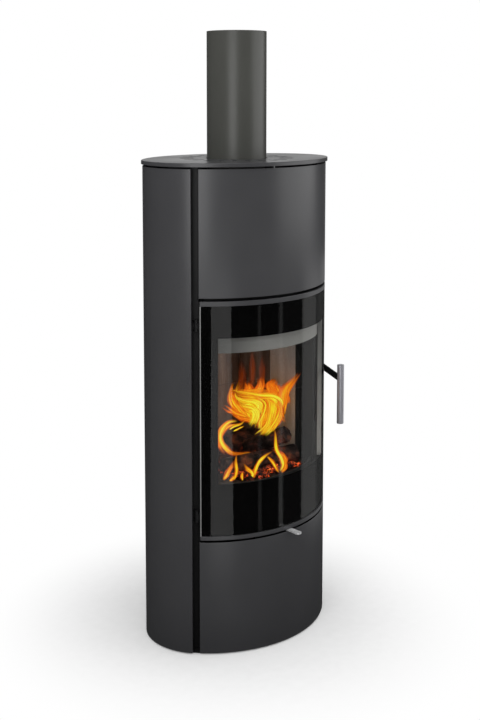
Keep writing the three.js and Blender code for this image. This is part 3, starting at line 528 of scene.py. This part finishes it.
def rear_panel():
    """The rolled back sheet, with two rows of upright vents."""
    vents = [180.0 + (i - VENT_COUNT // 2) * VENT_STEP for i in range(VENT_COUNT)]
    half = math.degrees(VENT_WIDTH / 2 / (FACE_RADIUS - SHELL_INSET))
    start, end = REAR_ANGLE + REAR_SEAM, 360.0 - REAR_ANGLE - REAR_SEAM
    angles = sorted({*steps(start, end, 1.5), *[v + s * half for v in vents for s in (-1, 1)]})
    heights = sorted({FLOOR_GAP, SHELL_TOP, *[z for row in VENT_ROWS for z in row]})

    def solid(angle, z):
        in_row = any(low < z < high for low, high in VENT_ROWS)
        return not (in_row and any(abs(angle - vent) < half for vent in vents))

    return cell_wall(oval_point, angles, heights, SHELL_INSET, SHELL_INSET + SHEET, solid)


def top_plate():
    """The oval plate with its turned-down rim, the pipe's hole and a ring of slots."""
    rim, wall, thick, lip = 9.5, 3.0, 4.0, 6.0
    top, bottom = PLATE_TOP, PLATE_TOP - rim
    section = [(0.0, bottom + 0.4), (0.0, top - 1.4), (0.2, top - 0.7), (0.7, top - 0.2), (1.4, top),
               (lip, top), (lip, top - thick), (wall, top - thick), (wall, bottom), (0.4, bottom)]
    lip_row = section.index((lip, top))
    angles = steps(-180.0, 180.0, 1.5)[:-1]
    bm = bmesh.new()
    rings = [[bm.verts.new((*oval_point(angle, inset), z)) for angle in angles] for inset, z in section]
    for k, ring in enumerate(rings):
        below = rings[(k + 1) % len(rings)]
        if k == lip_row:
            continue
        for i in range(len(angles)):
            j = (i + 1) % len(angles)
            bm.faces.new((ring[i], ring[j], below[j], below[i]))
    holes = [circle_points(PIPE_HOLE, 96)]
    holes += [slot_points(math.tau * i / SLOT_COUNT, SLOT_INNER, SLOT_OUTER, SLOT_WIDTH)
              for i in range(SLOT_COUNT)]
    faces = []
    for z, edge_ring in ((top, rings[lip_row]), (top - thick, rings[lip_row + 1])):
        loops = [[bm.verts.new((x, y, z)) for x, y in hole] for hole in holes]
        edges = [edge for loop in (edge_ring, *loops) for edge in loop_edges(bm, loop)]
        bmesh.ops.triangle_fill(bm, use_beauty=True, use_dissolve=False, edges=edges)
        faces.append(loops)
    for upper, lower in zip(*faces):
        for i in range(len(upper)):
            j = (i + 1) % len(upper)
            bm.faces.new((upper[i], upper[j], lower[j], lower[i]))
    return bm


def circle_points(radius, count):
    return [(radius * math.cos(math.tau * i / count), radius * math.sin(math.tau * i / count))
            for i in range(count)]


def slot_points(turn, inner, outer, width, segments=8):
    """A slot with round ends, pointing away from the middle."""
    radius = width / 2
    points = []
    for centre, start in ((outer - radius, -math.pi / 2), (inner + radius, math.pi / 2)):
        for k in range(segments + 1):
            angle = turn + start + math.pi * k / segments
            points.append((centre * math.cos(turn) + radius * math.cos(angle),
                           centre * math.sin(turn) + radius * math.sin(angle)))
    return points


def loop_edges(bm, loop):
    pairs = [(loop[i], loop[(i + 1) % len(loop)]) for i in range(len(loop))]
    return [bm.edges.get(pair) or bm.edges.new(pair) for pair in pairs]


cladding()
finish_piece("rear_sheet", rear_panel(), SHELL, "root", ["rear_panel"], 0.4)
finish_piece("slotted_top", top_plate(), SHELL, "root", ["top_plate"], 0.35, 2, 30.0)
pipe_section = [(PIPE_INNER, PIPE_LOW), (PIPE_OUTER, PIPE_LOW), (PIPE_OUTER, PIPE_TOP), (PIPE_INNER, PIPE_TOP)]
finish_piece("pipe", lathe(pipe_section, 128), FLUE, "root", ["flue_pipe"], 0.4)

# ---------------------------------------------------------------- door
STRIP_ANGLE = DOOR_ANGLE - math.degrees(2.3 / FACE_RADIUS)
EDGE_WIDTH = math.degrees(2.4 / FACE_RADIUS)
GLASS_LOW, GLASS_HIGH = 297.8, 860.7
GLASS_FRONT, GLASS_BACK = 4.8, 8.8
STRIP_BACK = 10.3
TOP_STRIP = (861.0, 872.5)
BOTTOM_STRIP = (288.0, 297.5)
WASH_RAIL = (744.0, 792.0)
WINDOW_HALF, WINDOW_LOW, WINDOW_HIGH = 37.5, 420.0, 790.0
OPENING_HALF = WINDOW_HALF - 0.2
PRINT_LOW, PRINT_HIGH = 426.0, 783.0


def band(start, end, outer, inner, low, high, size=1.5):
    """A curved strip on the front face, between two angles, insets and heights."""
    lines = [arc(face_point, start, end, inset, size) for inset in (outer, inner)]
    return strip_mesh(*lines, low, high)


finish_piece("glass_pane", band(-STRIP_ANGLE, STRIP_ANGLE, GLASS_FRONT, GLASS_BACK, GLASS_LOW, GLASS_HIGH, 1.0),
             GLASS, "door", ["door_glass"], 0.5)
finish_piece("glass_print", framed_wall(STRIP_ANGLE, 8.85, 9.05, GLASS_LOW, GLASS_HIGH, OPENING_HALF,
                                        PRINT_LOW, PRINT_HIGH), PRINT, "door")
for name, start in (("glass_edge_left", -STRIP_ANGLE), ("glass_edge_right", STRIP_ANGLE - EDGE_WIDTH)):
    finish_piece(name, band(start, start + EDGE_WIDTH, PANEL_INSET + 0.05, 4.78, GLASS_LOW, GLASS_HIGH),
                 EDGE, "door")
finish_piece("top_strip", band(-STRIP_ANGLE, STRIP_ANGLE, PANEL_INSET, STRIP_BACK, *TOP_STRIP), SHELL,
             "door", ["door_top_strip"], 0.8, 3)
finish_piece("bottom_strip", band(-STRIP_ANGLE, STRIP_ANGLE, PANEL_INSET, STRIP_BACK, *BOTTOM_STRIP), SHELL,
             "door", ["door_bottom_strip"], 0.8, 3)
finish_piece("wash_rail", band(-37.0, 37.0, 21.3, 24.3, *WASH_RAIL), RAIL, "root",
             ["air_wash_rail"], 0.5)

# ---------------------------------------------------------------- handle and air lever
bar_low, bar_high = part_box("handle_bar")
bar_middle = [(low + high) / 2 / MM for low, high in zip(bar_low, bar_high)]
bar_section = [(0.01, 505.0), (8.2, 505.0), (8.8, 505.3), (9.0, 506.0),
               (9.0, 660.0), (8.8, 660.7), (8.2, 661.0), (0.01, 661.0)]
finish_piece("bar", lathe(bar_section, 48, bar_middle[:2]), POLISHED, "handle",
             ["handle_bar"])

# ---------------------------------------------------------------- window lining, bricks and small parts
LINING = 0.12
LINING_FRONT, LINING_BACK = 9.3, 20.6
BRICK_EDGE = 1.6
for side in (-1, 1):
    edge = side * OPENING_HALF
    finish_piece(f"lining_{'left' if side < 0 else 'right'}",
                 band(*sorted((edge, edge + side * LINING)), LINING_FRONT, LINING_BACK,
                      WINDOW_LOW + 1, WINDOW_HIGH - 1),
                 JAMB, "door")
finish_piece("lining_top",
             band(-OPENING_HALF, OPENING_HALF, LINING_FRONT, LINING_BACK, WINDOW_HIGH - 1.6, WINDOW_HIGH - 1),
             JAMB, "door")
for course in ("lower", "upper"):
    for side in ("left", "right"):
        eased(f"side_brick_{side}_{course}", BRICK_EDGE, CLAY, 3)
        eased(f"corner_brick_{side}_{course}", BRICK_EDGE, SOOTY_CLAY, 3)
    eased(f"rear_brick_{course}", BRICK_EDGE, SOOTY_CLAY, 3)
eased("floor_brick", BRICK_EDGE, ASHES, 3)
for node, width, material in (("left_channel_post", 0.5, BLACK), ("right_channel_post", 0.5, BLACK),
                              ("log_guard", 0.8, CAST), ("handle_arm", 0.7, BLACK), ("air_lever", 0.5, SATIN),
                              ("hinge_bracket_upper", 0.4, BLACK), ("hinge_bracket_lower", 0.4, BLACK),
                              ("hinge_pin_upper", 0.3, BLACK), ("hinge_pin_lower", 0.3, BLACK)):
    eased(node, width, material)
for side in ("left", "right"):
    eased(f"panel_bracket_{side}", 0.3, BLACK)


# ---------------------------------------------------------------- firewood, embers and fire
def burnt_log(node, radius, length, turn, tilt, seed):
    """A split log with ridged bark and rough ends."""
    rows, columns = 36, 44
    low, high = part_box(node)
    middle = Vector([(a + b) / 2 / MM for a, b in zip(low, high)])
    place = Matrix.Translation(middle) @ Matrix.Rotation(math.radians(turn), 4, "Z") @ Matrix.Rotation(
        math.radians(tilt), 4, "Y")
    bm = bmesh.new()
    rings = []
    for i in range(rows + 1):
        x = length * (i / rows - 0.5)
        ring = []
        for k in range(columns):
            turn_round = math.tau * k / columns
            side = Vector((0.0, math.cos(turn_round), math.sin(turn_round)))
            ridges = noise.noise(side * 3.2 + Vector((x * 0.006 + seed, 0.0, 0.0)))
            scales = abs(noise.noise(side * 7.0 + Vector((x * 0.05 + 2 * seed, 3.0, 0.0))))
            r = radius * (0.9 + 0.09 * ridges - 0.1 * scales)
            ragged = 2.5 * noise.noise(side * 4.0 + Vector((seed + i // rows, 9.0, 0.0))) * (i in (0, rows))
            ring.append(bm.verts.new(place @ Vector((x + ragged - math.copysign(2.5, x) * (i in (0, rows)),
                                                     r * side.y, r * side.z))))
        rings.append(ring)
    for i in range(rows):
        for k in range(columns):
            j = (k + 1) % columns
            bm.faces.new((rings[i][k], rings[i][j], rings[i + 1][j], rings[i + 1][k]))
    for ring, side in ((rings[0], -1), (rings[-1], 1)):
        centre = bm.verts.new(place @ Vector((side * (length / 2 - 4.0), 0.0, 0.0)))
        middle_ring = []
        for k in range(columns):
            sunk = 2.5 + 2.0 * noise.noise(Vector((k, seed, 0)))
            turn_round = math.tau * k / columns
            point = Vector((side * (length / 2 - sunk), 0.5 * radius * math.cos(turn_round),
                            0.5 * radius * math.sin(turn_round)))
            middle_ring.append(bm.verts.new(place @ point))
        for k in range(columns):
            j = (k + 1) % columns
            bm.faces.new((ring[k], ring[j], middle_ring[j], middle_ring[k]))
            bm.faces.new((middle_ring[k], middle_ring[j], centre))
    finish_piece(f"burnt_{node}", bm, CHAR, "root", [node], smooth=50.0)


burnt_log("log_back", 34.0, 208.0, 4, 0, 1.3)
burnt_log("log_front", 25.5, 222.0, -10, 0, 4.1)
burnt_log("log_top", 23.1, 134.0, -72, -25, 7.7)

BED = 406.2


def ember_bed(count=120):
    """Broken, glowing charcoal between the logs and the log guard."""
    draw = random.Random(11)
    bm = bmesh.new()
    for _ in range(count):
        x, y = draw.uniform(-95.0, 105.0), draw.uniform(-128.0, 6.0)
        size = draw.uniform(5.0, 10.5)
        stretch = Vector((draw.uniform(0.9, 1.6), draw.uniform(0.7, 1.2), draw.uniform(0.55, 0.9)))
        turn = draw.uniform(0.0, math.tau)
        seed = draw.uniform(0.0, 50.0)
        new = bmesh.ops.create_icosphere(bm, subdivisions=2, radius=1.0)["verts"]
        place = Matrix.Translation((x, y, BED + size * 0.75)) @ Matrix.Rotation(turn, 4, "Z")
        for vert in new:
            rough = 1.0 + 0.35 * noise.noise(vert.co * 1.7 + Vector((seed, 0.0, 0.0)))
            point = place @ Vector([c * s * size * rough for c, s in zip(vert.co, stretch)])
            vert.co = (point.x, point.y, max(point.z, BED))
    finish_piece("embers", bm, EMBER, "root", smooth=25.0)


ember_bed()

# The fire is drawn on an upright plane through the logs: across it, up from the floor, and in depth
FIRE_TURN = math.radians(-35.0)
FIRE_ACROSS = Vector((math.cos(FIRE_TURN), math.sin(FIRE_TURN), 0.0))
FIRE_DEPTH = Vector((-math.sin(FIRE_TURN), math.cos(FIRE_TURN), 0.0))


def smooth_path(points, count):
    """Points on a Catmull-Rom curve through the given ones."""
    ends = [points[0] * 2 - points[1], *points, points[-1] * 2 - points[-2]]
    path = []
    for i in range(count):
        t = i / (count - 1) * (len(points) - 1)
        k = min(int(t), len(points) - 2)
        f = t - k
        a, b, c, d = ends[k:k + 4]
        path.append(0.5 * (2 * b + (c - a) * f + (2 * a - 5 * b + 4 * c - d) * f**2
                           + (3 * b - a - 3 * c + d) * f**3))
    return path


STRANDS = 3
STRAND_COVER = 0.8
FLAME_THICKNESS = 0.22  # of its width
FLAME_VALUES = ("across", "along", "warmth", "seed", "cover")


def tongue(bm, points, width, depth, heat, cover=1.0, seed=0.0):
    """One flame: a flat tapered body along a curve, which carries its own shading values."""
    layers = {name: bm.verts.layers.float.get(name) for name in FLAME_VALUES}
    rows, columns = 10 * len(points), 16
    path = smooth_path([Vector((x, z)) for x, z in points], rows)
    rings = []
    for i, spot in enumerate(path):
        t = i / (rows - 1)
        flow = path[min(i + 1, rows - 1)] - path[max(i - 1, 0)]
        side = Vector((flow.y, -flow.x)).normalized()
        swell = min(1.0, 0.45 + 2.2 * t) * min(1.0, 2.6 * (1.0 - t)) ** 0.7
        flicker = 1 + 0.12 * noise.noise(Vector((spot.x * 0.05, spot.y * 0.05, seed)))
        half = max(0.3, width / 2 * swell * flicker)
        sway = 6.0 * noise.noise(Vector((spot.y * 0.02, seed, 0.0)))
        ring = []
        for k in range(columns):
            turn = math.tau * k / columns
            flat = spot + side * (half * math.cos(turn))
            behind = depth + sway + half * FLAME_THICKNESS * math.sin(turn)
            place = FIRE_ACROSS * flat.x + FIRE_DEPTH * behind
            vert = bm.verts.new((place.x, place.y, max(flat.y, BED)))
            for name, value in zip(FLAME_VALUES, (math.cos(turn), t, heat, seed, cover)):
                vert[layers[name]] = value
            ring.append(vert)
        rings.append(ring)
    for i in range(rows - 1):
        for k in range(columns):
            j = (k + 1) % columns
            bm.faces.new((rings[i][k], rings[i][j], rings[i + 1][j], rings[i + 1][k]))
    bm.faces.new(rings[0])
    bm.faces.new(rings[-1])


def fire():
    bm = bmesh.new()
    for name in FLAME_VALUES:
        bm.verts.layers.float.new(name)
    flames = (
        # the tall body over the logs; each is its line of (across, up), width, depth and warmth
        ([(70, 484), (94, 514), (106, 543), (107, 572), (88, 590), (54, 593), (14, 599), (-4, 606),
          (4, 634)], 34, -22, 1.1),
        ([(60, 486), (84, 512), (92, 545), (90, 572), (66, 582), (34, 586)], 36, -14, 0.85),
        ([(72, 486), (76, 536), (72, 567), (50, 580), (22, 588)], 34, -8, 0.7),
        ([(30, 514), (44, 545), (55, 566), (40, 577), (16, 580), (-2, 588), (-8, 602)], 32, -26, 1.15),
        ([(44, 515), (60, 545), (62, 566), (44, 584), (10, 592), (-6, 606)], 26, -18, 0.95),
        ([(24, 532), (6, 553), (-10, 571), (-17, 594), (-12, 626)], 30, -12, 0.7),
        ([(38, 528), (22, 548), (4, 566), (-4, 590), (12, 622)], 34, -6, 0.8),
        ([(36, 520), (44, 545), (34, 562), (14, 570), (-4, 584)], 34, -30, 1.1),
        ([(56, 500), (64, 535), (60, 560), (48, 574)], 34, -10, 0.9),
        ([(84, 500), (102, 530), (108, 560), (104, 590)], 26, -28, 0.75),
        ([(26, 534), (-4, 546), (-20, 558), (-38, 571)], 13, -20, 0.55),
        ([(10, 530), (-10, 546), (-26, 551), (-44, 566)], 8, -16, 0.5),
        # tips
        ([(48, 584), (52, 600), (62, 616), (60, 640)], 30, -10, 0.5),
        ([(76, 582), (90, 600), (84, 616), (96, 634)], 32, -14, 0.5),
        ([(18, 590), (30, 604), (24, 626)], 28, -12, 0.5),
        ([(96, 574), (108, 594), (98, 610), (104, 628)], 26, -4, 0.5),
        ([(108, 540), (114, 572), (120, 600), (136, 622), (158, 648)], 32, -22, 0.55),
        ([(104, 560), (116, 590), (128, 576), (138, 564)], 22, -16, 0.55),
        ([(98, 574), (110, 552), (114, 535), (124, 518)], 18, -26, 0.65),
        # behind and round the left log
        ([(70, 520), (40, 524), (10, 530), (-22, 546)], 26, -4, 0.5),
        ([(-6, 536), (-26, 534), (-42, 520), (-50, 500), (-46, 480), (-34, 464), (-18, 452), (4, 450),
          (24, 452), (38, 446)], 17, -56, 0.85),
        ([(-4, 526), (-30, 520), (-46, 502), (-52, 478), (-46, 462), (-34, 448)], 15, -52, 0.55),
        ([(-26, 512), (-14, 520), (4, 527), (18, 538)], 8, -50, 1.15),
        ([(-16, 508), (0, 516), (14, 522)], 6, -50, 1.0),
        # in front, between the logs
        ([(92, 424), (99, 440), (95, 458), (83, 482), (80, 516), (76, 540)], 16, -128, 0.95),
        ([(25, 408), (30, 431), (39, 451), (56, 467), (76, 478)], 13, -130, 0.9),
        ([(60, 464), (74, 448), (84, 430), (91, 420)], 10, -128, 0.8),
        ([(108, 440), (104, 456), (92, 470), (70, 480)], 20, -124, 0.55),
        ([(96, 420), (106, 436), (104, 452), (98, 470)], 14, -126, 0.6),
        ([(-24, 409), (-18, 430), (-19, 452), (-17, 480)], 11, -132, 0.85),
        ([(-50, 408), (-40, 424), (-30, 440), (-24, 458)], 17, -128, 0.6),
        ([(18, 409), (22, 424), (8, 438), (-2, 454)], 11, -134, 0.85),
        ([(-3, 407), (-4, 420), (-2, 432)], 9, -136, 0.75),
        ([(-36, 407), (-26, 414), (-20, 426)], 10, -134, 0.7),
    )
    draw = random.Random(5)
    for index, (points, width, depth, heat) in enumerate(flames):
        tongue(bm, points, width, depth, heat, seed=index * 1.7)
        for _ in range(STRANDS if width > 24 else 0):
            side = draw.uniform(-0.42, 0.42) * width
            lift = draw.uniform(-2.0, 7.0)
            strand = [(x + side * (1 - 0.5 * k / len(points)) + draw.uniform(-2.5, 2.5),
                       z + lift * k / len(points) + draw.uniform(-2.5, 2.5))
                      for k, (x, z) in enumerate(points)]
            thin = width * draw.uniform(0.22, 0.45)
            nearer = depth + draw.uniform(-9.0, 3.0)
            cooler = heat * draw.uniform(0.75, 1.15)
            tongue(bm, strand, thin, nearer, cooler, STRAND_COVER, seed=draw.uniform(0.0, 90.0))
    # faint, tall streaks of hot gas against the rear bricks
    streaks = ((12, 580, 680, 28), (40, 585, 712, 20), (66, 595, 690, 22))
    for index, (x, foot, top, width) in enumerate(streaks):
        line = [(x, foot), (x + 4, (foot + top) / 2), (x + 2, top)]
        tongue(bm, line, width, 20.0, 0.1, 0.11, seed=60 + index)
    finish_piece("flames", bm, FLAME, "root", smooth=180.0)


fire()

dress_nodes()

# ---------------------------------------------------------------- floor, lights and camera
CAMERA_AZIMUTH = -42.464
SHADOW_START, SHADOW_END = 0.25, 0.66


def floor():
    """A white floor that keeps the soft shadow round the stove's foot; the light it bounces carries a painted
    shadow, near black by the stove and pale further out.
    """
    bm = bmesh.new()
    bmesh.ops.create_grid(bm, x_segments=8, y_segments=8, size=9.0)
    mesh = bpy.data.meshes.new("floor")
    bm.to_mesh(mesh)
    bm.free()
    plane = bpy.data.objects.new("floor", mesh)
    bpy.context.scene.collection.objects.link(plane)
    n = Nodes("white_floor")
    path = n.add("ShaderNodeLightPath")
    seen = n.add("ShaderNodeMath", operation="MAXIMUM")
    n.tree.links.new(path.outputs["Is Camera Ray"], seen.inputs[0])
    n.tree.links.new(path.outputs["Is Transmission Ray"], seen.inputs[1])
    shown = n.add("ShaderNodeMath", operation="MAXIMUM")
    n.tree.links.new(seen.outputs[0], shown.inputs[0])
    n.tree.links.new(path.outputs["Is Glossy Ray"], shown.inputs[1])
    distance = n.add("ShaderNodeVectorMath", links={0: n.place}, operation="LENGTH")
    far = n.add("ShaderNodeMapRange",
                {"From Min": SHADOW_START, "From Max": SHADOW_END, "To Min": 0.15, "To Max": 1.0},
                {"Value": distance.outputs["Value"]}, interpolation_type="SMOOTHSTEP")
    white = n.add("ShaderNodeEmission", {"Strength": 1.0})
    white.inputs["Color"].default_value = (1.0, 1.0, 1.0, 1.0)
    tone = n.ramp(n.noise(40.0), [(0.3, (0.81, 0.81, 0.81)), (0.7, (0.84, 0.84, 0.84))])
    shaded = n.add("ShaderNodeBsdfDiffuse", links={"Color": tone})
    # Painted shadow: for bounced light the floor runs from near black by the stove to pale grey 0.9 m out.
    painted_shadow_tone = n.ramp(n.spread(distance.outputs["Value"], 0.0, 1.0, 0.3, 0.9),
                    [(0.0, (0.03, 0.03, 0.03)), (1.0, (0.75, 0.75, 0.75))])
    painted_shadow_bounce = n.add("ShaderNodeBsdfDiffuse", links={"Color": painted_shadow_tone})
    near = n.add("ShaderNodeMixShader",
                 links={"Fac": far.outputs["Result"], 1: shaded.outputs[0], 2: white.outputs[0]})
    both = n.add("ShaderNodeMixShader",
                 links={"Fac": shown.outputs[0], 1: painted_shadow_bounce.outputs[0], 2: near.outputs[0]})
    n.tree.links.new(both.outputs[0], n.output.inputs["Surface"])
    mesh.materials.append(n.material)
    plane.visible_glossy = False


def lamp(name, azimuth, distance, height, width, tall, radiance, aim=0.6):
    """A soft box facing the stove; azimuth 0 is in front of the door, 90 on its right."""
    data = bpy.data.lights.new(name, "AREA")
    data.shape = "RECTANGLE"
    data.size, data.size_y = width, tall
    data.energy = radiance * math.pi * width * tall
    light = bpy.data.objects.new(name, data)
    bpy.context.scene.collection.objects.link(light)
    turn = math.radians(azimuth)
    light.location = (distance * math.sin(turn), -distance * math.cos(turn), height)
    away = Vector(light.location) - Vector((0.0, 0.0, aim))
    light.rotation_euler = away.to_track_quat("Z", "Y").to_euler()
    light.visible_camera = False


def world(fill, room):
    """White for the camera and through glass; reflections see white only beyond the stove, else a dim room."""
    w = bpy.data.worlds.new("studio")
    bpy.context.scene.world = w
    w.use_nodes = True
    tree = w.node_tree
    tree.nodes.clear()

    def add(kind, values=None, links=None, **options):
        return add_node(tree, kind, values, links, **options)

    path = add("ShaderNodeLightPath")
    turn = math.radians(CAMERA_AZIMUTH)
    beyond = add("ShaderNodeVectorMath", {1: (-math.sin(turn), math.cos(turn), 0.0)},
                 {0: add("ShaderNodeTexCoord").outputs["Generated"]}, operation="DOT_PRODUCT")
    behind = add("ShaderNodeMapRange", {"From Min": 0.93, "From Max": 1.0, "To Min": room, "To Max": 1.0},
                 {"Value": beyond.outputs["Value"]}, interpolation_type="SMOOTHSTEP")
    glossy = add("ShaderNodeMix", {"A": fill},
                 {"Factor": path.outputs["Is Glossy Ray"], "B": behind.outputs["Result"]})
    direct = add("ShaderNodeMath", operation="MAXIMUM",
                 links={0: path.outputs["Is Camera Ray"], 1: path.outputs["Is Transmission Ray"]})
    strength = add("ShaderNodeMix", {"B": 1.0}, {"Factor": direct.outputs[0], "A": glossy.outputs["Result"]})
    backdrop = add("ShaderNodeBackground", {"Color": (1.0, 1.0, 1.0, 1.0)},
                   {"Strength": strength.outputs["Result"]})
    add("ShaderNodeOutputWorld", links={"Surface": backdrop.outputs[0]})


def camera():
    data = bpy.data.cameras.new("camera")
    data.lens = 57.966
    data.shift_y = -0.2
    view = bpy.data.objects.new("camera", data)
    bpy.context.scene.collection.objects.link(view)
    azimuth, distance, height = math.radians(CAMERA_AZIMUTH), 2.9207, 1.3675
    looks_down, aims_right = 6.156, 0.166
    view.location = (distance * math.sin(azimuth), -distance * math.cos(azimuth), height)
    view.rotation_euler = (math.radians(90 - looks_down), 0.0, azimuth + math.radians(-aims_right))
    bpy.context.scene.camera = view


floor()
lamp("left_box", -34.4, 1.0, 0.38, 0.34, 0.84, 1.0)
lamp("high_left", -57.0, 1.1, 1.2, 0.5, 0.96, 2.2)
lamp("high_right", 49.0, 1.1, 1.28, 1.2, 0.96, 1.35)
lamp("right_box", 70.0, 1.0, 0.4, 0.5, 0.84, 0.6)
lamp("right_edge_box", 98.0, 1.0, 0.4, 0.44, 0.84, 0.3)
lamp("slit_near", 2.2, 1.0, 0.38, 0.06, 0.84, 0.25)
lamp("slit_far", 26.0, 1.0, 0.38, 0.08, 0.84, 0.35)
lamp("overhead", -80.0, 0.8, 2.6, 2.6, 2.6, 0.9, 0.0)
world(0.68, 0.03)
camera()
bpy.context.scene.view_settings.view_transform = "Standard"
